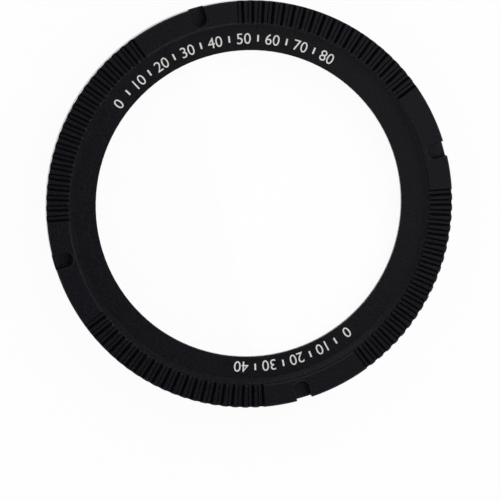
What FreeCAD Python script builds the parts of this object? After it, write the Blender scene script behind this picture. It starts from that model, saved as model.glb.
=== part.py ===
# Internal lens filter that screws in: a turned ring with a knurled rim, a clear glass disc
# and the threaded ring that holds the glass against its shoulder from behind.
# Lengths are in millimetres and angles in degrees. The filter lies on its rear side:
# z = 0 is the rear face, +Z leaves the front, and +X runs through a spanner notch.
import FreeCAD, Part
import os

import Sketcher

SIZES = [
    ("glass_radius", 26.2, "radius of the glass disc"),
    ("glass_thickness", 2.0, "thickness of the glass disc"),
    ("glass_bevel", 0.25, "width of the polished bevel on both edges of the glass"),
    ("glass_gap", 0.1, "radial gap between the glass and its pocket"),
    ("shoulder_width", 1.3, "width of the shoulder that reaches in over the glass"),
    ("lip_thickness", 0.8, "thickness of the lip, from the land to the shoulder"),
    ("aperture_bevel", 0.12, "width of the bevel on the aperture's front edge"),
    ("retainer_overhang", 1.0, "radial length of the retaining ring outside the glass"),
    ("retainer_margin", 0.7, "radial length from the aperture to the retaining ring's opening"),
    ("retainer_thickness", 1.2, "thickness of the retaining ring"),
    ("retainer_bevel", 0.45, "width of the flare on the retaining ring's rear opening"),
    ("retainer_recess", 0.2, "depth of the retaining ring below the rear face"),
    ("retainer_gap", 0.08, "radial gap in the retaining ring's thread"),
    ("retainer_slot_width", 1.3, "width of the spanner slots across the retaining ring"),
    ("retainer_slot_depth", 0.7, "depth of the spanner slots across the retaining ring"),
    ("thread_overrun", 0.35, "depth of the retaining thread past the rear of the glass"),
    ("mouth_bevel", 0.15, "width of the bevel on the mouth of the retaining thread"),
    ("barrel_wall", 2.32, "thickness of the barrel between its two threads"),
    ("barrel_bevel", 0.4, "width of the lead-in bevel on the barrel's end"),
    ("relief_width", 0.7, "width of the thread relief under the flange"),
    ("relief_depth", 0.3, "depth of the thread relief under the flange"),
    ("flange_width", 3.4, "width of the flange outside the barrel"),
    ("flange_thickness", 2.6, "thickness of the flange, from its seat to the front face"),
    ("flange_bevel", 0.2, "width of the bevel on the flange's front and rear edges"),
    ("band_width", 3.7, "width of the raised band that carries the knurl"),
    ("band_bevel", 0.25, "width of the bevel on the band's inner edge"),
    ("step_depth", 0.95, "depth of the straight wall inside the band"),
    ("strip_width", 0.75, "width of the sloping strip, along the radius"),
    ("strip_drop", 0.85, "depth that the sloping strip falls"),
    ("segment_count", 4, "number of knurled stretches, and of notches, round the rim"),
    ("groove_count", 20, "number of grooves in each knurled stretch"),
    ("groove_pitch", 3.0, "angle from one groove to the next"),
    ("groove_top_width", 1.2, "width of a groove at the front face"),
    ("groove_floor_width", 0.42, "width of a groove at its floor"),
    ("groove_depth", 0.85, "depth of a groove below the front face"),
    ("notch_width", 2.5, "width of a round-ended spanner notch"),
    ("notch_margin", 0.55, "width of metal between a notch's round end and the band's inner edge"),
    ("notch_depth", 2.2, "depth of a spanner notch below the front face"),
    ("notch_bevel", 0.1, "width of the bevel round a spanner notch"),
    ("notch_offset", 4.0, "angle from a notch to the middle of its plain stretch"),
    ("overcut", 1.0, "length by which a cutting profile stands outside the metal"),
]

# Radii, stacked from the clear aperture out to the rim
APERTURE_RADIUS = "(Sizes.glass_radius - Sizes.shoulder_width)"
RETAINER_RADIUS = "(Sizes.glass_radius + Sizes.retainer_overhang)"
THREAD_BORE = f"({RETAINER_RADIUS} + Sizes.retainer_gap)"
BARREL_RADIUS = f"({THREAD_BORE} + Sizes.barrel_wall)"
FLANGE_RADIUS = f"({BARREL_RADIUS} + Sizes.flange_width)"
BAND_INNER = f"({FLANGE_RADIUS} - Sizes.band_width)"
LAND_EDGE = f"({BAND_INNER} - Sizes.strip_width)"

# Heights, stacked from the rear face up to the front face
GLASS_REAR = "(Sizes.retainer_recess + Sizes.retainer_thickness)"
GLASS_FRONT = f"({GLASS_REAR} + Sizes.glass_thickness)"
LAND = f"({GLASS_FRONT} + Sizes.lip_thickness)"
STRIP_TOP = f"({LAND} + Sizes.strip_drop)"
FRONT = f"({STRIP_TOP} + Sizes.step_depth)"
FLANGE_SEAT = f"({FRONT} - Sizes.flange_thickness)"

# Two heights or radii closer than this are taken as one
SAME_PLACE = 1e-4

doc = FreeCAD.newDocument("InternalLensFilter")


def make_sizes():
    sheet = doc.addObject("Spreadsheet::Sheet", "Sizes")
    for row, (alias, value, note) in enumerate(SIZES, start=1):
        sheet.set(f"A{row}", alias)
        sheet.set(f"B{row}", str(value))
        sheet.set(f"C{row}", note)
        sheet.setAlias(f"B{row}", alias)
    doc.recompute()
    return sheet


def value_of(expression):
    return float(sheet.evalExpression(expression))


def origin_feature(body, role):
    return next(feature for feature in body.Origin.OriginFeatures if feature.Role == role)


def new_body(label):
    body = doc.addObject("PartDesign::Body", label)
    body.Label = label
    return body


def new_sketch(body, name, plane):
    sketch = body.newObject("Sketcher::SketchObject", name)
    sketch.AttachmentSupport = [(origin_feature(body, plane), "")]
    sketch.MapMode = "FlatFace"
    return sketch


def bind_distance(sketch, kind, geometry, end, expression):
    # Ties one coordinate of a sketch point to the sheet, measured from the sketch's origin
    value = value_of(expression)
    across = -2 if kind == "DistanceX" else -1
    if value == 0:
        sketch.addConstraint(Sketcher.Constraint("PointOnObject", geometry, end, across))
        return
    if value > 0:
        constraint = Sketcher.Constraint(kind, -1, 1, geometry, end, value)
    else:
        constraint = Sketcher.Constraint(kind, geometry, end, -1, 1, -value)
        expression = f"-({expression})"
    index = sketch.addConstraint(constraint)
    sketch.setExpression(f"Constraints[{index}]", expression)


def draw_outline(sketch, corners):
    # Closed outline of straight lines through corners given as expressions
    points = [FreeCAD.Vector(value_of(x), value_of(y), 0) for x, y in corners]
    following = points[1:] + points[:1]
    for start, end in zip(points, following):
        sketch.addGeometry(Part.LineSegment(start, end), False)
    for index in range(len(points)):
        joined = (index + 1) % len(points)
        sketch.addConstraint(Sketcher.Constraint("Coincident", index, 2, joined, 1))
    for index, (x, y) in enumerate(corners):
        bind_distance(sketch, "DistanceX", index, 1, x)
        bind_distance(sketch, "DistanceY", index, 1, y)


def draw_notch(sketch, rim_radius):
    # Round-ended notch, open beyond the rim, on the +X side
    half_width = "(Sizes.notch_width / 2)"
    centre = f"({BAND_INNER} + Sizes.notch_margin + {half_width})"
    reach = value_of(rim_radius)
    middle = value_of(centre)
    half = value_of(half_width)
    corner_a = FreeCAD.Vector(reach, half, 0)
    shoulder_a = FreeCAD.Vector(middle, half, 0)
    shoulder_b = FreeCAD.Vector(middle, -half, 0)
    corner_b = FreeCAD.Vector(reach, -half, 0)
    tip = FreeCAD.Vector(middle - half, 0, 0)
    upper = sketch.addGeometry(Part.LineSegment(corner_a, shoulder_a), False)
    arc = sketch.addGeometry(Part.Arc(shoulder_a, tip, shoulder_b), False)
    lower = sketch.addGeometry(Part.LineSegment(shoulder_b, corner_b), False)
    closing = sketch.addGeometry(Part.LineSegment(corner_b, corner_a), False)
    sketch.addConstraint(Sketcher.Constraint("Tangent", upper, 2, arc, 1))
    sketch.addConstraint(Sketcher.Constraint("Tangent", arc, 2, lower, 1))
    sketch.addConstraint(Sketcher.Constraint("Coincident", lower, 2, closing, 1))
    sketch.addConstraint(Sketcher.Constraint("Coincident", closing, 2, upper, 1))
    sketch.addConstraint(Sketcher.Constraint("Horizontal", upper))
    sketch.addConstraint(Sketcher.Constraint("Vertical", closing))
    sketch.addConstraint(Sketcher.Constraint("PointOnObject", arc, 3, -1))
    bind_distance(sketch, "DistanceX", arc, 3, centre)
    bind_distance(sketch, "DistanceX", closing, 1, rim_radius)
    radius = sketch.addConstraint(Sketcher.Constraint("Radius", arc, half))
    sketch.setExpression(f"Constraints[{radius}]", half_width)


def revolve(body, name, corners):
    # Turns a half section, drawn as radius and height, once round Z
    sketch = new_sketch(body, f"{name}Section", "XZ_Plane")
    draw_outline(sketch, corners)
    turned = body.newObject("PartDesign::Revolution", name)
    turned.Profile = sketch
    turned.ReferenceAxis = (sketch, ["V_Axis"])
    turned.Angle = 360
    doc.recompute()
    return turned


def polar_pattern(body, name, occurrences, spacing=None):
    pattern = body.newObject("PartDesign::PolarPattern", name)
    pattern.Axis = (origin_feature(body, "Z_Axis"), [""])
    pattern.setExpression("Occurrences", occurrences)
    if spacing is None:
        pattern.Mode = "Extent"
        pattern.Angle = 360
    else:
        pattern.Mode = "Spacing"
        pattern.setExpression("Offset", spacing)
    return pattern


def turn_blank(body):
    # The turned blank: flange, band, sloping strip, land, glass pocket and barrel
    glass_pocket = "(Sizes.glass_radius + Sizes.glass_gap)"
    thread_end = f"({GLASS_REAR} + Sizes.thread_overrun)"
    relief_radius = f"({BARREL_RADIUS} - Sizes.relief_depth)"
    return revolve(body, "Blank", [
        (f"{THREAD_BORE} + Sizes.mouth_bevel", "0"),
        (f"{BARREL_RADIUS} - Sizes.barrel_bevel", "0"),
        (BARREL_RADIUS, "Sizes.barrel_bevel"),
        (BARREL_RADIUS, f"{FLANGE_SEAT} - Sizes.relief_width - Sizes.relief_depth"),
        (relief_radius, f"{FLANGE_SEAT} - Sizes.relief_width"),
        (relief_radius, FLANGE_SEAT),
        (f"{FLANGE_RADIUS} - Sizes.flange_bevel", FLANGE_SEAT),
        (FLANGE_RADIUS, f"{FLANGE_SEAT} + Sizes.flange_bevel"),
        (FLANGE_RADIUS, f"{FRONT} - Sizes.flange_bevel"),
        (f"{FLANGE_RADIUS} - Sizes.flange_bevel", FRONT),
        (f"{BAND_INNER} + Sizes.band_bevel", FRONT),
        (BAND_INNER, f"{FRONT} - Sizes.band_bevel"),
        (BAND_INNER, STRIP_TOP),
        (LAND_EDGE, LAND),
        (f"{APERTURE_RADIUS} + Sizes.aperture_bevel", LAND),
        (APERTURE_RADIUS, f"{LAND} - Sizes.aperture_bevel"),
        (APERTURE_RADIUS, GLASS_FRONT),
        (glass_pocket, GLASS_FRONT),
        (glass_pocket, thread_end),
        (THREAD_BORE, thread_end),
        (THREAD_BORE, "Sizes.mouth_bevel"),
    ])


def cut_notches(body):
    # Round-ended notches for a spanner, each with a fine bevel round its edge
    sketch = new_sketch(body, "NotchOutline", "XY_Plane")
    sketch.setExpression("AttachmentOffset.Base.z", FRONT)
    draw_notch(sketch, f"({FLANGE_RADIUS} + Sizes.overcut)")
    notch = body.newObject("PartDesign::Pocket", "Notch")
    notch.Profile = sketch
    notch.setExpression("Length", "Sizes.notch_depth")
    notches = polar_pattern(body, "Notches", "Sizes.segment_count")
    notches.Originals = [notch]
    body.Tip = notches
    doc.recompute()
    bevel = body.newObject("PartDesign::Chamfer", "NotchBevel")
    bevel.Base = (notches, notch_edges(notches.Shape))
    bevel.setExpression("Size", "Sizes.notch_bevel")
    body.Tip = bevel
    doc.recompute()


def notch_edges(shape):
    # Names of the edges in the front face that aren't circles about the ring's axis
    front = value_of(FRONT)
    names = []
    for number, edge in enumerate(shape.Edges, start=1):
        lowest = edge.BoundBox.ZMin
        turned = False
        if hasattr(edge.Curve, "Center"):
            turned = abs(edge.Curve.Center.Length - front) < SAME_PLACE
        if abs(lowest - front) < SAME_PLACE and not turned:
            names.append(f"Edge{number}")
    return names


def cut_knurl(body):
    # Radial grooves with sloping flanks, cut across the band in evenly spaced stretches.
    # The first groove's section stands just inside the band, square to its radius.
    first_angle = ("(Sizes.notch_offset + 180 / Sizes.segment_count"
                   " - (Sizes.groove_count - 1) * Sizes.groove_pitch / 2)")
    start_radius = f"({BAND_INNER} - Sizes.overcut)"
    half_top = "(Sizes.groove_top_width / 2)"
    half_floor = "(Sizes.groove_floor_width / 2)"
    flank_slope = f"(({half_top} - {half_floor}) / Sizes.groove_depth)"
    half_mouth = f"({half_top} + Sizes.overcut * {flank_slope})"
    floor = f"({FRONT} - Sizes.groove_depth)"
    mouth = f"({FRONT} + Sizes.overcut)"
    sketch = new_sketch(body, "GrooveSection", "YZ_Plane")
    sketch.AttachmentOffset = FreeCAD.Placement(
        FreeCAD.Vector(0, 0, 0), FreeCAD.Rotation(FreeCAD.Vector(0, 1, 0), 1))
    sketch.setExpression("AttachmentOffset.Rotation.Angle", first_angle)
    sketch.setExpression("AttachmentOffset.Base.x", f"{start_radius} * sin({first_angle})")
    sketch.setExpression("AttachmentOffset.Base.z", f"{start_radius} * cos({first_angle})")
    draw_outline(sketch, [
        (f"-{half_floor}", floor),
        (half_floor, floor),
        (half_mouth, mouth),
        (f"-{half_mouth}", mouth),
    ])
    groove = body.newObject("PartDesign::Pocket", "Groove")
    groove.Profile = sketch
    groove.Reversed = True
    groove.setExpression("Length", "Sizes.band_width + 2 * Sizes.overcut")
    doc.recompute()
    knurl = body.newObject("PartDesign::MultiTransform", "Knurl")
    knurl.Originals = [groove]
    stretch = polar_pattern(body, "KnurledStretch", "Sizes.groove_count", "Sizes.groove_pitch")
    repeats = polar_pattern(body, "KnurledStretches", "Sizes.segment_count")
    knurl.Transformations = [stretch, repeats]
    body.Tip = knurl
    doc.recompute()


def make_knurled_ring():
    body = new_body("knurled_ring")
    turn_blank(body)
    cut_notches(body)
    cut_knurl(body)
    return body


def make_glass():
    # Clear disc with a fine bevel on both edges, on its own rear face
    body = new_body("filter_glass")
    edge = "(Sizes.glass_radius - Sizes.glass_bevel)"
    revolve(body, "Disc", [
        ("0", "0"),
        (edge, "0"),
        ("Sizes.glass_radius", "Sizes.glass_bevel"),
        ("Sizes.glass_radius", "Sizes.glass_thickness - Sizes.glass_bevel"),
        (edge, "Sizes.glass_thickness"),
        ("0", "Sizes.glass_thickness"),
    ])
    body.setExpression("Placement.Base.z", GLASS_REAR)
    return body


def make_retaining_ring():
    # Thin ring with a flared rear opening and two slots for a spanner
    body = new_body("retaining_ring")
    opening = f"({APERTURE_RADIUS} + Sizes.retainer_margin)"
    revolve(body, "Ring", [
        (f"{opening} + Sizes.retainer_bevel", "0"),
        (RETAINER_RADIUS, "0"),
        (RETAINER_RADIUS, "Sizes.retainer_thickness"),
        (opening, "Sizes.retainer_thickness"),
        (opening, "Sizes.retainer_bevel"),
    ])
    sketch = new_sketch(body, "SlotOutline", "XY_Plane")
    reach = f"({RETAINER_RADIUS} + Sizes.overcut)"
    half_slot = "(Sizes.retainer_slot_width / 2)"
    draw_outline(sketch, [
        (f"-{reach}", f"-{half_slot}"),
        (reach, f"-{half_slot}"),
        (reach, half_slot),
        (f"-{reach}", half_slot),
    ])
    slots = body.newObject("PartDesign::Pocket", "Slots")
    slots.Profile = sketch
    slots.Reversed = True
    slots.setExpression("Length", "Sizes.retainer_slot_depth")
    doc.recompute()
    body.setExpression("Placement.Base.z", "Sizes.retainer_recess")
    return body


def check(bodies):
    failed = [o.Label for o in doc.Objects if "Invalid" in o.State or "Error" in o.State]
    if failed:
        raise RuntimeError(f"features not built: {failed}")
    for body in bodies:
        if body.Shape.isNull() or not body.Shape.isValid():
            raise RuntimeError(f"{body.Label} has no valid shape")
        if len(body.Shape.Solids) != 1:
            raise RuntimeError(f"{body.Label} isn't one solid")


sheet = make_sizes()
bodies = [make_knurled_ring(), make_glass(), make_retaining_ring()]
doc.recompute()
check(bodies)
os.makedirs("parts", exist_ok=True)
for body in bodies:
    body.Shape.exportStep(f"parts/{body.Label}.step")
    extent = body.Shape.BoundBox
    print(f"{body.Label}: {body.Shape.Volume:.1f} mm3, {len(body.Shape.Faces)} faces,"
          f" z {extent.ZMin:.2f} to {extent.ZMax:.2f}")
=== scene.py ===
# Internal lens filter: black anodised screw-in ring, clear glass, retaining ring.
# Lengths are in metres in the model's own frame; the filter lies on its rear side.
import math

import bmesh
import bpy
from mathutils import Matrix, Vector


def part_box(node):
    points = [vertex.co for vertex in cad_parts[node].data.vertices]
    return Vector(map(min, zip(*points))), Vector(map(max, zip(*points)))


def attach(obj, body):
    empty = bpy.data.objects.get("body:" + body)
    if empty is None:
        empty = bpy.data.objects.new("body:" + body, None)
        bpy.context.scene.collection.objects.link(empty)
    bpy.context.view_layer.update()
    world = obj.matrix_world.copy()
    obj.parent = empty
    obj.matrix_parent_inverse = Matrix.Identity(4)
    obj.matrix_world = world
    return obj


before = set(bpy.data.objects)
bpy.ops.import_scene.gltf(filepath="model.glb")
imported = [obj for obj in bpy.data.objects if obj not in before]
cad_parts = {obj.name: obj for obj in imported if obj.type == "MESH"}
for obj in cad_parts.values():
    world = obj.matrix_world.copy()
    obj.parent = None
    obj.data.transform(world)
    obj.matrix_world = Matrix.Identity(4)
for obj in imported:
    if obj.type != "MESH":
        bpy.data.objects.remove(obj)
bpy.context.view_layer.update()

mm = 0.001
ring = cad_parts["knurled_ring"]
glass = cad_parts["filter_glass"]
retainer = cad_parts["retaining_ring"]
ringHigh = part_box("knurled_ring")[1]
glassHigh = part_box("filter_glass")[1]
frontHeight = ringHigh.z
print("frame loaded, rim and glass radii in mm", round(ringHigh.x / mm, 2), round(glassHigh.x / mm, 2))


# Small helpers for node trees

def addNode(tree, kind, place, **settings):
    node = tree.nodes.new(kind)
    node.location = place
    for key, value in settings.items():
        setattr(node, key, value)
    return node


def setInputs(node, **values):
    for key, value in values.items():
        node.inputs[key.replace("_", " ")].default_value = value


def newGroup(name, inputs, outputs):
    group = bpy.data.node_groups.new(name, "ShaderNodeTree")
    for label, kind, default in inputs:
        socket = group.interface.new_socket(label, in_out="INPUT", socket_type=kind)
        socket.default_value = default
    for label, kind in outputs:
        group.interface.new_socket(label, in_out="OUTPUT", socket_type=kind)
    start = addNode(group, "NodeGroupInput", (-900, 0))
    end = addNode(group, "NodeGroupOutput", (700, 0))
    return group, start, end


def useGroup(tree, group, place, **values):
    node = addNode(tree, "ShaderNodeGroup", place, node_tree=group)
    setInputs(node, **values)
    return node


def newMaterial(name):
    material = bpy.data.materials.new(name)
    material.use_nodes = True
    tree = material.node_tree
    tree.nodes.clear()
    output = addNode(tree, "ShaderNodeOutputMaterial", (900, 0))
    return material, tree, output


# Effects that several finishes share

noiseSpan = (0.3, 0.7)         # most of a noise texture's values lie between these
grainNoise = {
    "grainDetail": 2.0,
    "grainRoughness": 0.55,
    "mottleDetail": 3.0,
    "mottleRoughness": 0.5,
}
turningWobble = {
    "scale": 2.3,              # per mm of radius
    "detail": 4.0,
    "strength": 4.0,
}
bevelSamples = 6
uprightFacing = (-0.93, -0.99)      # cosines between which a wall counts as upright
levelFacing = 0.8                   # least cosine at which a surface counts as a floor


def anodisedGrainGroup():
    # Fine pitted grain of blasted and anodised aluminium, with slow mottling on top
    group, start, end = newGroup(
        "AnodisedGrain",
        [("Grain Size", "NodeSocketFloat", 0.06), ("Mottle Size", "NodeSocketFloat", 3.0)],
        [("Grain", "NodeSocketFloat"), ("Mottle", "NodeSocketFloat")])
    links = group.links
    place = addNode(group, "ShaderNodeTexCoord", (-900, 300))
    grainScale = addNode(group, "ShaderNodeMath", (-700, 100), operation="DIVIDE")
    grainScale.inputs[0].default_value = 1 / mm
    links.new(start.outputs["Grain Size"], grainScale.inputs[1])
    mottleScale = addNode(group, "ShaderNodeMath", (-700, -150), operation="DIVIDE")
    mottleScale.inputs[0].default_value = 1 / mm
    links.new(start.outputs["Mottle Size"], mottleScale.inputs[1])
    grain = addNode(group, "ShaderNodeTexNoise", (-450, 150))
    setInputs(grain, Detail=grainNoise["grainDetail"], Roughness=grainNoise["grainRoughness"])
    mottle = addNode(group, "ShaderNodeTexNoise", (-450, -150))
    setInputs(mottle, Detail=grainNoise["mottleDetail"], Roughness=grainNoise["mottleRoughness"])
    for noise, scale in ((grain, grainScale), (mottle, mottleScale)):
        links.new(place.outputs["Object"], noise.inputs["Vector"])
        links.new(scale.outputs[0], noise.inputs["Scale"])
    links.new(grain.outputs["Fac"], end.inputs["Grain"])
    links.new(mottle.outputs["Fac"], end.inputs["Mottle"])
    return group


def turningMarksGroup():
    # Concentric marks that the lathe leaves, as a height that follows the radius
    group, start, end = newGroup(
        "TurningMarks",
        [("Pitch", "NodeSocketFloat", 0.12), ("Wander", "NodeSocketFloat", 0.35)],
        [("Height", "NodeSocketFloat")])
    links = group.links
    place = addNode(group, "ShaderNodeTexCoord", (-900, 300))
    flat = addNode(group, "ShaderNodeVectorMath", (-720, 300), operation="MULTIPLY")
    flat.inputs[1].default_value = (1 / mm, 1 / mm, 0)
    radius = addNode(group, "ShaderNodeVectorMath", (-540, 300), operation="LENGTH")
    turns = addNode(group, "ShaderNodeMath", (-360, 250), operation="DIVIDE")
    wobble = addNode(group, "ShaderNodeTexNoise", (-540, 0), noise_dimensions="1D")
    setInputs(wobble, Scale=turningWobble["scale"], Detail=turningWobble["detail"])
    shifted = addNode(group, "ShaderNodeMath", (-180, 150), operation="MULTIPLY_ADD")
    wave = addNode(group, "ShaderNodeMath", (20, 150), operation="SINE")
    lengthen = addNode(group, "ShaderNodeMath", (-20, 320), operation="MULTIPLY")
    lengthen.inputs[1].default_value = 2 * math.pi
    wobbleDepth = addNode(group, "ShaderNodeMath", (-360, 0), operation="MULTIPLY")
    wobbleDepth.inputs[1].default_value = turningWobble["strength"]
    links.new(place.outputs["Object"], flat.inputs[0])
    links.new(flat.outputs[0], radius.inputs[0])
    links.new(radius.outputs["Value"], turns.inputs[0])
    links.new(start.outputs["Pitch"], turns.inputs[1])
    links.new(radius.outputs["Value"], wobble.inputs["W"])
    links.new(wobble.outputs["Fac"], wobbleDepth.inputs[0])
    links.new(wobbleDepth.outputs[0], shifted.inputs[0])
    links.new(start.outputs["Wander"], shifted.inputs[1])
    links.new(turns.outputs[0], shifted.inputs[2])
    links.new(shifted.outputs[0], lengthen.inputs[0])
    links.new(lengthen.outputs[0], wave.inputs[0])
    links.new(wave.outputs[0], end.inputs["Height"])
    return group


def edgeSheenGroup():
    # Where the metal turns a corner: the rounded normal departs from the flat one; the Edge mask is
    # where the ring's material puts a painted highlight
    group, start, end = newGroup(
        "EdgeSheen",
        [("Radius", "NodeSocketFloat", 0.06), ("Gain", "NodeSocketFloat", 4.0)],
        [("Edge", "NodeSocketFloat"), ("Normal", "NodeSocketVector")])
    links = group.links
    toMetres = addNode(group, "ShaderNodeMath", (-650, 100), operation="MULTIPLY")
    toMetres.inputs[1].default_value = mm
    rounded = addNode(group, "ShaderNodeBevel", (-450, 100), samples=bevelSamples)
    geometry = addNode(group, "ShaderNodeNewGeometry", (-450, -150))
    facing = addNode(group, "ShaderNodeVectorMath", (-200, 0), operation="DOT_PRODUCT")
    turned = addNode(group, "ShaderNodeMath", (0, 0), operation="SUBTRACT")
    turned.inputs[0].default_value = 1.0
    gained = addNode(group, "ShaderNodeMath", (200, 0), operation="MULTIPLY", use_clamp=True)
    links.new(start.outputs["Radius"], toMetres.inputs[0])
    links.new(toMetres.outputs[0], rounded.inputs["Radius"])
    links.new(rounded.outputs["Normal"], facing.inputs[0])
    links.new(geometry.outputs["Normal"], facing.inputs[1])
    links.new(facing.outputs["Value"], turned.inputs[1])
    links.new(turned.outputs[0], gained.inputs[0])
    links.new(start.outputs["Gain"], gained.inputs[1])
    links.new(gained.outputs[0], end.inputs["Edge"])
    links.new(rounded.outputs["Normal"], end.inputs["Normal"])
    return group


def outwardWallGroup():
    # How far a surface looks away from the ring's axis: 1 on the rim, 0 inside and on top;
    # Inward is 1 only on the upright walls that look at the axis
    group, start, end = newGroup(
        "OutwardWall",
        [("Softness", "NodeSocketFloat", 0.5)],
        [("Outward", "NodeSocketFloat"), ("Inward", "NodeSocketFloat")])
    links = group.links
    place = addNode(group, "ShaderNodeTexCoord", (-700, 200))
    flat = addNode(group, "ShaderNodeVectorMath", (-500, 200), operation="MULTIPLY")
    flat.inputs[1].default_value = (1, 1, 0)
    outwards = addNode(group, "ShaderNodeVectorMath", (-320, 200), operation="NORMALIZE")
    geometry = addNode(group, "ShaderNodeNewGeometry", (-500, -50))
    facing = addNode(group, "ShaderNodeVectorMath", (-120, 100), operation="DOT_PRODUCT")
    share = addNode(group, "ShaderNodeMath", (100, 100), operation="DIVIDE", use_clamp=True)
    bore = addNode(group, "ShaderNodeMapRange", (100, -150))
    setInputs(bore, From_Min=uprightFacing[0], From_Max=uprightFacing[1])
    links.new(place.outputs["Object"], flat.inputs[0])
    links.new(flat.outputs[0], outwards.inputs[0])
    links.new(outwards.outputs[0], facing.inputs[0])
    links.new(geometry.outputs["Normal"], facing.inputs[1])
    links.new(facing.outputs["Value"], share.inputs[0])
    links.new(start.outputs["Softness"], share.inputs[1])
    links.new(share.outputs[0], end.inputs["Outward"])
    links.new(facing.outputs["Value"], bore.inputs["Value"])
    links.new(bore.outputs["Result"], end.inputs["Inward"])
    return group


def floorLightGroup():
    # Floors of the grooves and notches, which the walls around them shade; the ring's material paints
    # them lighter, as painted light in place of that shade
    group, start, end = newGroup(
        "FloorLightMask",
        [("Inner Radius", "NodeSocketFloat", 29.0), ("Middle Height", "NodeSocketFloat", 4.6),
         ("Half Height", "NodeSocketFloat", 1.1)],
        [("Floor", "NodeSocketFloat")])
    links = group.links
    place = addNode(group, "ShaderNodeTexCoord", (-900, 300))
    scaled = addNode(group, "ShaderNodeVectorMath", (-720, 300), operation="SCALE")
    scaled.inputs["Scale"].default_value = 1 / mm
    split = addNode(group, "ShaderNodeSeparateXYZ", (-540, 150))
    flat = addNode(group, "ShaderNodeVectorMath", (-540, 350), operation="MULTIPLY")
    flat.inputs[1].default_value = (1, 1, 0)
    radius = addNode(group, "ShaderNodeVectorMath", (-360, 350), operation="LENGTH")
    outside = addNode(group, "ShaderNodeMath", (-150, 350), operation="GREATER_THAN")
    sunk = addNode(group, "ShaderNodeMath", (-150, 150), operation="COMPARE")
    geometry = addNode(group, "ShaderNodeNewGeometry", (-540, -100))
    slope = addNode(group, "ShaderNodeSeparateXYZ", (-360, -100))
    level = addNode(group, "ShaderNodeMath", (-150, -100), operation="GREATER_THAN")
    level.inputs[1].default_value = levelFacing
    both = addNode(group, "ShaderNodeMath", (100, 250), operation="MULTIPLY")
    floor = addNode(group, "ShaderNodeMath", (300, 150), operation="MULTIPLY")
    links.new(place.outputs["Object"], scaled.inputs[0])
    links.new(scaled.outputs["Vector"], split.inputs[0])
    links.new(scaled.outputs["Vector"], flat.inputs[0])
    links.new(flat.outputs["Vector"], radius.inputs[0])
    links.new(radius.outputs["Value"], outside.inputs[0])
    links.new(start.outputs["Inner Radius"], outside.inputs[1])
    links.new(split.outputs["Z"], sunk.inputs[0])
    links.new(start.outputs["Middle Height"], sunk.inputs[1])
    links.new(start.outputs["Half Height"], sunk.inputs[2])
    links.new(geometry.outputs["Normal"], slope.inputs[0])
    links.new(slope.outputs["Z"], level.inputs[0])
    links.new(outside.outputs[0], both.inputs[0])
    links.new(sunk.outputs[0], both.inputs[1])
    links.new(both.outputs[0], floor.inputs[0])
    links.new(level.outputs[0], floor.inputs[1])
    links.new(floor.outputs[0], end.inputs["Floor"])
    return group


anodisedGrain = anodisedGrainGroup()
turningMarks = turningMarksGroup()
edgeSheen = edgeSheenGroup()
outwardWall = outwardWallGroup()
floorLightMask = floorLightGroup()
print("shared effects made")


# Black anodised metal

ringFinish = {
    "colour": (0.0026, 0.0024, 0.0045, 1),
    "mottledColour": (0.0036, 0.0033, 0.0058, 1),
    # painted highlight: a lighter colour along every corner of the metal
    "edgeHighlightColour": (0.046, 0.045, 0.050, 1),
    # painted light: a lighter colour that lifts the shaded floors of the grooves and notches
    "floorLightColour": (0.0075, 0.0072, 0.0100, 1),
    "roughnessLow": 0.25,
    "roughnessHigh": 0.45,
    "boreRoughness": 0.06,     # on the upright walls that look inwards
    "ior": 1.5,
    "specular": 0.13,
    "grainSize": 0.40,         # mm
    "mottleSize": 3.0,         # mm
    "grainDepth": 0.055,       # mm
    "grainContrast": 0.55,
    "turningPitch": 0.11,      # mm
    "turningWander": 0.35,
    "turningDepth": 0.0009,    # mm
    "edgeRadius": 0.05,        # mm
    "edgeGain": 4.0,
    "grazingCoat": 0.9,        # how much the sealed skin of the rim shines along flat views
    "grazingSpan": (0.68, 0.86),
    "coatRoughness": 0.12,
    "rimSoftness": 0.5,
    "floorLightRadius": 29.0,      # mm, floors further out than this get the painted light
    "floorLightMiddle": 4.6,       # mm, middle of the heights at which those floors lie
    "floorLightReach": 1.1,        # mm, above and below it
}
retainerFinish = dict(
    ringFinish,
    colour=(0.0024, 0.0022, 0.0040, 1),
    turningDepth=0.0014,
    roughnessLow=0.20,
    roughnessHigh=0.28,
)


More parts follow.
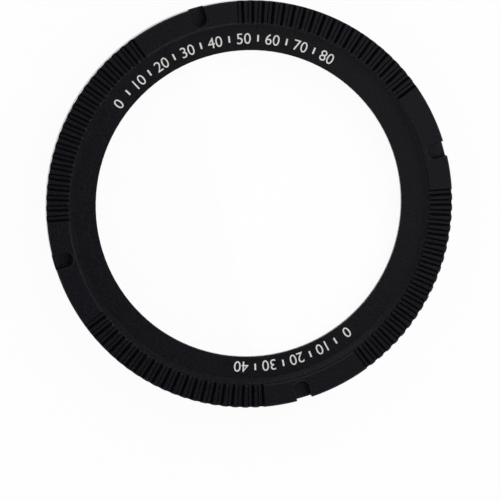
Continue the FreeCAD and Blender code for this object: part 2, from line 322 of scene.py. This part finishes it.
def blackAnodised(name, finish):
    material, tree, output = newMaterial(name)
    links = tree.links
    shader = addNode(tree, "ShaderNodeBsdfPrincipled", (600, 0))
    setInputs(shader, Metallic=0.0, IOR=finish["ior"])
    shader.inputs["Specular IOR Level"].default_value = finish["specular"]
    grain = useGroup(
        tree, anodisedGrain, (-700, 200),
        Grain_Size=finish["grainSize"], Mottle_Size=finish["mottleSize"])
    marks = useGroup(
        tree, turningMarks, (-700, -100),
        Pitch=finish["turningPitch"], Wander=finish["turningWander"])
    edges = useGroup(
        tree, edgeSheen, (-700, -350), Radius=finish["edgeRadius"], Gain=finish["edgeGain"])
    body = addNode(tree, "ShaderNodeMix", (-350, 350), data_type="RGBA")
    body.inputs["A"].default_value = finish["colour"]
    body.inputs["B"].default_value = finish["mottledColour"]
    # Floors of the grooves and notches get a lighter colour: painted light that lifts the shade of
    # their walls
    floorLight = addNode(tree, "ShaderNodeMix", (-200, 400), data_type="RGBA")
    floorLight.inputs["B"].default_value = finish["floorLightColour"]
    floors = useGroup(
        tree, floorLightMask, (-500, 500), Inner_Radius=finish["floorLightRadius"],
        Middle_Height=finish["floorLightMiddle"], Half_Height=finish["floorLightReach"])
    # Corners get a lighter colour: a painted highlight along every edge
    edgeHighlight = addNode(tree, "ShaderNodeMix", (-50, 350), data_type="RGBA")
    edgeHighlight.inputs["B"].default_value = finish["edgeHighlightColour"]
    rough = addNode(tree, "ShaderNodeMapRange", (-350, 60))
    setInputs(rough, From_Min=noiseSpan[0], From_Max=noiseSpan[1])
    rough.inputs["To Min"].default_value = finish["roughnessLow"]
    rough.inputs["To Max"].default_value = finish["roughnessHigh"]
    smoothed = addNode(tree, "ShaderNodeMix", (-150, 60))
    smoothed.inputs["B"].default_value = finish["boreRoughness"]
    lathe = addNode(tree, "ShaderNodeBump", (0, -200))
    lathe.inputs["Strength"].default_value = 1.0
    lathe.inputs["Distance"].default_value = finish["turningDepth"] * mm
    pits = addNode(tree, "ShaderNodeBump", (250, -200))
    pits.inputs["Strength"].default_value = 1.0
    pits.inputs["Distance"].default_value = finish["grainDepth"] * mm
    along = addNode(tree, "ShaderNodeLayerWeight", (50, 650))
    sheen = addNode(tree, "ShaderNodeMapRange", (250, 650))
    setInputs(sheen, From_Min=finish["grazingSpan"][0], From_Max=finish["grazingSpan"][1])
    sheen.inputs["To Max"].default_value = finish["grazingCoat"]
    rim = useGroup(tree, outwardWall, (250, 850), Softness=finish["rimSoftness"])
    coat = addNode(tree, "ShaderNodeMath", (430, 700), operation="MULTIPLY")
    shader.inputs["Coat Roughness"].default_value = finish["coatRoughness"]
    speckle = addNode(tree, "ShaderNodeMapRange", (-350, 600))
    setInputs(speckle, From_Min=noiseSpan[0], From_Max=noiseSpan[1])
    speckle.inputs["To Min"].default_value = 1.0 - finish["grainContrast"]
    speckle.inputs["To Max"].default_value = 1.0 + finish["grainContrast"]
    spotted = addNode(tree, "ShaderNodeVectorMath", (-150, 550), operation="SCALE")
    links.new(along.outputs["Facing"], sheen.inputs["Value"])
    links.new(sheen.outputs["Result"], coat.inputs[0])
    links.new(rim.outputs["Outward"], coat.inputs[1])
    links.new(coat.outputs[0], shader.inputs["Coat Weight"])
    links.new(grain.outputs["Mottle"], body.inputs["Factor"])
    links.new(grain.outputs["Grain"], speckle.inputs["Value"])
    links.new(body.outputs["Result"], floorLight.inputs["A"])
    links.new(floors.outputs["Floor"], floorLight.inputs["Factor"])
    links.new(floorLight.outputs["Result"], spotted.inputs[0])
    links.new(speckle.outputs["Result"], spotted.inputs["Scale"])
    links.new(spotted.outputs["Vector"], edgeHighlight.inputs["A"])
    links.new(edges.outputs["Edge"], edgeHighlight.inputs["Factor"])
    links.new(edgeHighlight.outputs["Result"], shader.inputs["Base Color"])
    links.new(grain.outputs["Grain"], rough.inputs["Value"])
    links.new(rough.outputs["Result"], smoothed.inputs["A"])
    links.new(rim.outputs["Inward"], smoothed.inputs["Factor"])
    links.new(smoothed.outputs["Result"], shader.inputs["Roughness"])
    links.new(marks.outputs["Height"], lathe.inputs["Height"])
    links.new(edges.outputs["Normal"], lathe.inputs["Normal"])
    links.new(grain.outputs["Grain"], pits.inputs["Height"])
    links.new(lathe.outputs["Normal"], pits.inputs["Normal"])
    links.new(pits.outputs["Normal"], shader.inputs["Normal"])
    links.new(shader.outputs["BSDF"], output.inputs["Surface"])
    return material


# White paint in the engraving

paintFinish = {
    "colour": (0.80, 0.785, 0.735, 1),
    "thinColour": (0.66, 0.645, 0.60, 1),
    "coverSpan": (0.3, 0.5),   # noise values from which the paint goes from thin to full
    "roughness": 0.62,
    "ior": 1.5,
    "grainSize": 0.09,         # mm
    "mottleSize": 0.7,         # mm
    "grainDepth": 0.004,       # mm
}


def filledPaint():
    material, tree, output = newMaterial("markingWhite")
    links = tree.links
    shader = addNode(tree, "ShaderNodeBsdfPrincipled", (600, 0))
    setInputs(shader, Roughness=paintFinish["roughness"], IOR=paintFinish["ior"])
    grain = useGroup(
        tree, anodisedGrain, (-500, 100),
        Grain_Size=paintFinish["grainSize"], Mottle_Size=paintFinish["mottleSize"])
    cover = addNode(tree, "ShaderNodeMix", (-150, 200), data_type="RGBA")
    cover.inputs["A"].default_value = paintFinish["thinColour"]
    cover.inputs["B"].default_value = paintFinish["colour"]
    spread = addNode(tree, "ShaderNodeMapRange", (-330, 0))
    setInputs(spread, From_Min=paintFinish["coverSpan"][0], From_Max=paintFinish["coverSpan"][1])
    bump = addNode(tree, "ShaderNodeBump", (250, -200))
    bump.inputs["Strength"].default_value = 1.0
    bump.inputs["Distance"].default_value = paintFinish["grainDepth"] * mm
    links.new(grain.outputs["Mottle"], spread.inputs["Value"])
    links.new(spread.outputs["Result"], cover.inputs["Factor"])
    links.new(cover.outputs["Result"], shader.inputs["Base Color"])
    links.new(grain.outputs["Grain"], bump.inputs["Height"])
    links.new(bump.outputs["Normal"], shader.inputs["Normal"])
    links.new(shader.outputs["BSDF"], output.inputs["Surface"])
    return material


# Clear coated glass

glassFinish = {
    "colour": (0.996, 0.999, 0.998, 1),
    "ior": 1.52,
    "coating": (0.10, 0.10, 0.11, 1),   # both faces are coated, so little is reflected
    "smearScale": 90.0,
    "smearDetail": 3.0,
    "smearDepth": 0.00003,              # mm
}


def clearGlass():
    material, tree, output = newMaterial("clearGlass")
    links = tree.links
    shader = addNode(tree, "ShaderNodeBsdfPrincipled", (300, 100))
    setInputs(shader, Metallic=0.0, Roughness=0.0, IOR=glassFinish["ior"])
    shader.inputs["Base Color"].default_value = glassFinish["colour"]
    shader.inputs["Transmission Weight"].default_value = 1.0
    shader.inputs["Specular Tint"].default_value = glassFinish["coating"]
    smear = addNode(tree, "ShaderNodeTexNoise", (-300, -100))
    setInputs(smear, Scale=glassFinish["smearScale"], Detail=glassFinish["smearDetail"])
    place = addNode(tree, "ShaderNodeTexCoord", (-500, -100))
    bump = addNode(tree, "ShaderNodeBump", (0, -150))
    bump.inputs["Distance"].default_value = glassFinish["smearDepth"] * mm
    clear = addNode(tree, "ShaderNodeBsdfTransparent", (300, 300))
    light = addNode(tree, "ShaderNodeLightPath", (300, 550))
    mix = addNode(tree, "ShaderNodeMixShader", (650, 150))
    links.new(place.outputs["Object"], smear.inputs["Vector"])
    links.new(smear.outputs["Fac"], bump.inputs["Height"])
    links.new(bump.outputs["Normal"], shader.inputs["Normal"])
    links.new(light.outputs["Is Shadow Ray"], mix.inputs[0])
    links.new(shader.outputs["BSDF"], mix.inputs[1])
    links.new(clear.outputs["BSDF"], mix.inputs[2])
    links.new(mix.outputs["Shader"], output.inputs["Surface"])
    return material


def dress(piece, material):
    piece.data.materials.clear()
    piece.data.materials.append(material)


ringBlack = blackAnodised("ringBlack", ringFinish)
dress(ring, ringBlack)
dress(retainer, blackAnodised("retainerBlack", retainerFinish))
dress(glass, clearGlass())
markingWhite = filledPaint()
print("finishes made")


# New pieces that the solids leave to this script

def newPiece(name, mesh, material):
    piece = bpy.data.objects.new(name, mesh)
    bpy.context.scene.collection.objects.link(piece)
    dress(piece, material)
    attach(piece, "root")


barrelThread = {
    "core": 29.6 * mm,
    "crest": 30.0 * mm,
    "sunk": 0.04 * mm,         # roots start inside the barrel's wall
    "pitch": 0.75 * mm,
    "crestWidth": 0.10 * mm,
    "flankAngle": 30,          # degrees from the plane across the axis
    "leastRise": 0.002 * mm,   # what is left of a crest where it runs out
    "start": 0.15 * mm,
    "end": 2.15 * mm,
    "leadIn": 29.25 * mm,      # crests are cut back by the bevel on the barrel's end
    "fade": 25,                # degrees over which the last crest runs out
    "stepsPerTurn": 144,
}


def threadMesh(size):
    form = bmesh.new()
    root = size["core"] - size["sunk"]
    rise = size["crest"] - root
    flank = rise * math.tan(math.radians(size["flankAngle"]))
    half = size["crestWidth"] / 2
    turns = (size["end"] - size["start"]) / size["pitch"]
    steps = int(turns * size["stepsPerTurn"])
    fadeSteps = size["fade"] / 360 * size["stepsPerTurn"]
    rows = []
    for step in range(steps + 1):
        angle = 2 * math.pi * step / size["stepsPerTurn"]
        height = size["start"] + size["pitch"] * step / size["stepsPerTurn"]
        share = min(1.0, step / fadeSteps, (steps - step) / fadeSteps)
        crest = min(root + rise * share, size["leadIn"] + height)
        crest = max(crest, root + size["leastRise"])
        spread = (crest - root) / rise * flank
        section = [(root, -half - spread), (crest, -half), (crest, half), (root, half + spread)]
        rows.append([
            form.verts.new((r * math.cos(angle), r * math.sin(angle), height + z))
            for r, z in section])
    for before, after in zip(rows, rows[1:]):
        for corner in range(4):
            beside = (corner + 1) % 4
            form.faces.new((before[corner], after[corner], after[beside], before[beside]))
    form.faces.new(rows[0])
    form.faces.new(list(reversed(rows[-1])))
    bmesh.ops.recalc_face_normals(form, faces=form.faces)
    mesh = bpy.data.meshes.new("barrelThread")
    form.to_mesh(mesh)
    form.free()
    return mesh


newPiece("barrelThread", threadMesh(barrelThread), ringBlack)
print("thread cut on the barrel")


# Plain graduations on the land: a scale of degrees, numbers standing outwards

scaleMarks = {
    "land": 4.2 * mm,
    "film": 0.006 * mm,        # paint stands this far out of the engraving
    "sunk": 0.01 * mm,
    "height": 1.81 * mm,
    "heightShare": 0.73,       # of the font's size that a figure takes
    "weight": -0.005 * mm,     # what is added to the strokes on each side
    "weld": 0.0005 * mm,
    "curveSteps": 6,           # steps in each bend of a figure's outline
    "tickWidth": 0.28 * mm,
    "tickLength": 1.05 * mm,
    "spacing": 10,             # degrees from one figure to the next
    # name, angle of the first figure, count, radius of the figures' feet
    "arcs": [
        ("scaleUpper", 126.5, 9, 25.95 * mm),
        ("scaleLower", 291.5, 5, 25.68 * mm),
    ],
}


def figureMesh(text):
    curve = bpy.data.curves.new("figure", "FONT")
    curve.body = text
    curve.size = scaleMarks["height"] / scaleMarks["heightShare"]
    curve.align_x = "CENTER"
    curve.offset = scaleMarks["weight"]
    curve.extrude = (scaleMarks["film"] + scaleMarks["sunk"]) / 2
    curve.resolution_u = scaleMarks["curveSteps"]
    holder = bpy.data.objects.new("figure", curve)
    bpy.context.scene.collection.objects.link(holder)
    bpy.context.view_layer.update()
    graph = bpy.context.evaluated_depsgraph_get()
    mesh = bpy.data.meshes.new_from_object(holder.evaluated_get(graph))
    bpy.data.objects.remove(holder)
    return mesh


def bendOn(form, mesh, centreAngle, foot):
    # Wraps a flat figure round the axis, its head outwards
    level = scaleMarks["land"] + (scaleMarks["film"] - scaleMarks["sunk"]) / 2
    middle = foot + scaleMarks["height"] / 2
    placed = []
    for vertex in mesh.vertices:
        radius = foot + vertex.co.y
        angle = centreAngle - vertex.co.x / middle
        placed.append(form.verts.new((
            radius * math.cos(angle), radius * math.sin(angle), level + vertex.co.z)))
    for polygon in mesh.polygons:
        form.faces.new([placed[index] for index in polygon.vertices])


def tickOn(form, centreAngle, foot):
    low = scaleMarks["land"] - scaleMarks["sunk"]
    high = scaleMarks["land"] + scaleMarks["film"]
    inner = foot + (scaleMarks["height"] - scaleMarks["tickLength"]) / 2
    outer = inner + scaleMarks["tickLength"]
    half = scaleMarks["tickWidth"] / 2
    along = Vector((math.cos(centreAngle), math.sin(centreAngle), 0))
    across = Vector((-along.y, along.x, 0))
    corners = [(inner, -half), (outer, -half), (outer, half), (inner, half)]
    bottom = [form.verts.new(along * r + across * s + Vector((0, 0, low))) for r, s in corners]
    top = [form.verts.new(along * r + across * s + Vector((0, 0, high))) for r, s in corners]
    form.faces.new(top)
    form.faces.new(list(reversed(bottom)))
    for index in range(4):
        beside = (index + 1) % 4
        form.faces.new((bottom[index], bottom[beside], top[beside], top[index]))


def scaleMesh(name, firstAngle, count, foot):
    form = bmesh.new()
    for index in range(count):
        angle = math.radians(firstAngle - index * scaleMarks["spacing"])
        mesh = figureMesh(str(index * scaleMarks["spacing"]))
        bendOn(form, mesh, angle, foot)
        bpy.data.meshes.remove(mesh)
        if index < count - 1:
            tickOn(form, angle - math.radians(scaleMarks["spacing"] / 2), foot)
    bmesh.ops.remove_doubles(form, verts=form.verts, dist=scaleMarks["weld"])
    bmesh.ops.recalc_face_normals(form, faces=form.faces)
    mesh = bpy.data.meshes.new(name)
    form.to_mesh(mesh)
    form.free()
    return mesh


for name, firstAngle, count, foot in scaleMarks["arcs"]:
    mesh = scaleMesh(name, firstAngle, count, foot)
    newPiece(name, mesh, markingWhite)
print("graduations set on the land")


# Camera, at the photograph's angle: nearly straight down on the front

cameraSet = {
    "tilt": 10.35,             # degrees between the ring's axis and the camera's
    "tiltTowards": -41.2,      # where the ring's axis leans in the picture
    "roll": 16.0,              # where the +X notch points in the picture
    "distance": 0.60,
    "ringAt": (0.00016, 0.00717),   # ring's centre in the picture, from its middle
    "frameWidth": 0.08052,
    "sensor": 36.0,            # mm, as Blender counts it
    "nearest": 0.01,
    "farthest": 10.0,
}


def pictureToModel():
    lean = math.radians(cameraSet["tiltTowards"])
    axis = Vector((-math.sin(lean), math.cos(lean), 0))
    turn = Matrix.Rotation(math.radians(cameraSet["tilt"]), 3, axis)
    roll = Matrix.Rotation(math.radians(cameraSet["roll"]), 3, "Z")
    return (turn @ roll).transposed()


toModel = pictureToModel()
frontCentre = Vector((0, 0, frontHeight))


def addCamera():
    data = bpy.data.cameras.new("camera")
    data.sensor_width = cameraSet["sensor"]
    data.lens = cameraSet["sensor"] * cameraSet["distance"] / cameraSet["frameWidth"]
    data.clip_start = cameraSet["nearest"]
    data.clip_end = cameraSet["farthest"]
    camera = bpy.data.objects.new("camera", data)
    across, up = cameraSet["ringAt"]
    camera.location = frontCentre + toModel @ Vector((-across, -up, cameraSet["distance"]))
    camera.rotation_mode = "QUATERNION"
    camera.rotation_quaternion = toModel.to_quaternion()
    bpy.context.scene.collection.objects.link(camera)
    bpy.context.scene.camera = camera


addCamera()
print("camera placed")


# Pale floor and soft lamps

floorSet = {
    "size": 4.0,
    "drop": 0.02 * mm,         # how far it lies below the filter
    "white": (0.92, 0.92, 0.92, 1),
    "shade": (0.90, 0.90, 0.90, 1),
    "grainScale": 60.0,
    "grainDetail": 3.0,
    "glow": 0.95,              # the rest is lit, so that it keeps the filter's shadow
}
lamps = [
    # name, place in the picture's frame (right, up, towards the camera), size, power
    ("softTop", (-0.24, 0.56, 0.16), 0.60, 0.98),
    ("highRight", (0.30, 0.30, 0.36), 0.30, 0.8),
    ("edgePanel", (0.165, -0.01, 0.30), 0.20, 0.143),
]
worldLight = {
    "colour": (0.955, 0.955, 1.0, 1),
    "horizon": 1.37,
    "zenith": 0.220,
    "brightSide": (0.36, -0.93, 0),     # in the picture's frame
    "sideGain": 0.26,
}


def floorMaterial():
    material, tree, output = newMaterial("paleFloor")
    links = tree.links
    lit = addNode(tree, "ShaderNodeBsdfDiffuse", (0, 100))
    grain = addNode(tree, "ShaderNodeTexNoise", (-500, 100))
    setInputs(grain, Scale=floorSet["grainScale"], Detail=floorSet["grainDetail"])
    tone = addNode(tree, "ShaderNodeMix", (-250, 100), data_type="RGBA")
    tone.inputs["A"].default_value = floorSet["white"]
    tone.inputs["B"].default_value = floorSet["shade"]
    glow = addNode(tree, "ShaderNodeEmission", (0, -100))
    seen = addNode(tree, "ShaderNodeLightPath", (-500, 500))
    first = addNode(tree, "ShaderNodeMath", (-300, 500), operation="MAXIMUM")
    second = addNode(tree, "ShaderNodeMath", (-120, 500), operation="MAXIMUM")
    share = addNode(tree, "ShaderNodeMath", (60, 500), operation="MULTIPLY")
    share.inputs[1].default_value = floorSet["glow"]
    mix = addNode(tree, "ShaderNodeMixShader", (300, 0))
    links.new(grain.outputs["Fac"], tone.inputs["Factor"])
    links.new(tone.outputs["Result"], lit.inputs["Color"])
    links.new(seen.outputs["Is Camera Ray"], first.inputs[0])
    links.new(seen.outputs["Is Transmission Ray"], first.inputs[1])
    links.new(first.outputs[0], second.inputs[0])
    links.new(seen.outputs["Is Glossy Ray"], second.inputs[1])
    links.new(second.outputs[0], share.inputs[0])
    links.new(share.outputs[0], mix.inputs[0])
    links.new(lit.outputs["BSDF"], mix.inputs[1])
    links.new(glow.outputs["Emission"], mix.inputs[2])
    links.new(mix.outputs["Shader"], output.inputs["Surface"])
    return material


def addFloor():
    half = floorSet["size"] / 2
    mesh = bpy.data.meshes.new("floor")
    corners = [(-half, -half, 0), (half, -half, 0), (half, half, 0), (-half, half, 0)]
    mesh.from_pydata(corners, [], [(0, 1, 2, 3)])
    floor = bpy.data.objects.new("floor", mesh)
    floor.location.z = -floorSet["drop"]
    bpy.context.scene.collection.objects.link(floor)
    dress(floor, floorMaterial())


def addLamps():
    for name, place, size, power in lamps:
        data = bpy.data.lights.new(name, "AREA")
        data.size = size
        data.energy = power
        lamp = bpy.data.objects.new(name, data)
        lamp.location = frontCentre + toModel @ Vector(place)
        aim = frontCentre - lamp.location
        lamp.rotation_mode = "QUATERNION"
        lamp.rotation_quaternion = aim.to_track_quat("-Z", "Y")
        bpy.context.scene.collection.objects.link(lamp)


def addWorld():
    world = bpy.data.worlds.new("studio")
    world.use_nodes = True
    bpy.context.scene.world = world
    tree = world.node_tree
    links = tree.links
    tree.nodes.clear()
    output = addNode(tree, "ShaderNodeOutputWorld", (500, 0))
    light = addNode(tree, "ShaderNodeBackground", (0, 100))
    light.inputs["Color"].default_value = worldLight["colour"]
    place = addNode(tree, "ShaderNodeTexCoord", (-900, 200))
    aloft = addNode(tree, "ShaderNodeVectorMath", (-700, 300), operation="DOT_PRODUCT")
    aloft.inputs[1].default_value = (0, 0, 1)
    aside = addNode(tree, "ShaderNodeVectorMath", (-700, 50), operation="DOT_PRODUCT")
    aside.inputs[1].default_value = toModel @ Vector(worldLight["brightSide"]).normalized()
    height = addNode(tree, "ShaderNodeMapRange", (-450, 300))
    height.inputs["To Min"].default_value = worldLight["horizon"]
    height.inputs["To Max"].default_value = worldLight["zenith"]
    side = addNode(tree, "ShaderNodeMapRange", (-450, 50))
    side.inputs["From Min"].default_value = -1.0
    side.inputs["To Min"].default_value = 1.0 - worldLight["sideGain"]
    side.inputs["To Max"].default_value = 1.0 + worldLight["sideGain"]
    level = addNode(tree, "ShaderNodeMath", (-200, 200), operation="MULTIPLY")
    links.new(place.outputs["Generated"], aloft.inputs[0])
    links.new(place.outputs["Generated"], aside.inputs[0])
    links.new(aloft.outputs["Value"], height.inputs["Value"])
    links.new(aside.outputs["Value"], side.inputs["Value"])
    links.new(height.outputs["Result"], level.inputs[0])
    links.new(side.outputs["Result"], level.inputs[1])
    links.new(level.outputs[0], light.inputs["Strength"])
    links.new(light.outputs[0], output.inputs["Surface"])


addFloor()
addLamps()
addWorld()
bpy.context.scene.view_settings.view_transform = "Standard"
print("floor and lamps set")
